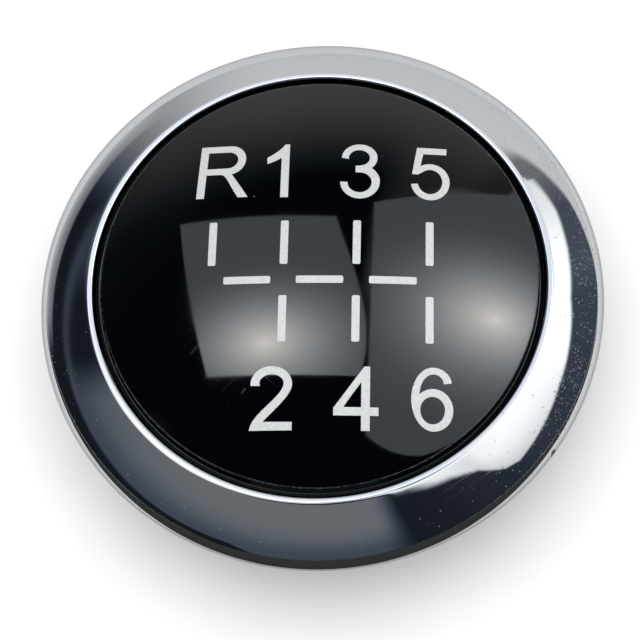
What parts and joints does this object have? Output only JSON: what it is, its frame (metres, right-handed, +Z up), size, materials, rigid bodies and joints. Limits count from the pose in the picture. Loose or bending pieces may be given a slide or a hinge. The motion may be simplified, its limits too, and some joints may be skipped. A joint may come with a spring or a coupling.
{
  "type": "gear shift knob cap",
  "caption": "Round snap-in cap for a gear shift knob: a chrome ring frames a domed gloss black insert with a printed shift pattern, on a carrier with barbed clip legs.",
  "frame": {"origin": "centre of the ring, on the plane of the clip leg tips that the cap stands on", "axes": "+Z up out of the domed face, +Y towards the top row of the shift pattern, +X to the reader's right"},
  "size_m": [0.046, 0.046, 0.0155],
  "materials": {
    "chrome_plate": "bright decorative chrome plating",
    "gloss_black": "gloss",
    "carrier_black": "as moulded",
    "print_white": "white print"
  },
  "bodies": {
    "root": {"chrome_bezel": "chrome_plate", "pattern_insert": "gloss_black", "clip_carrier": "carrier_black"}
  },
  "joints": []
}
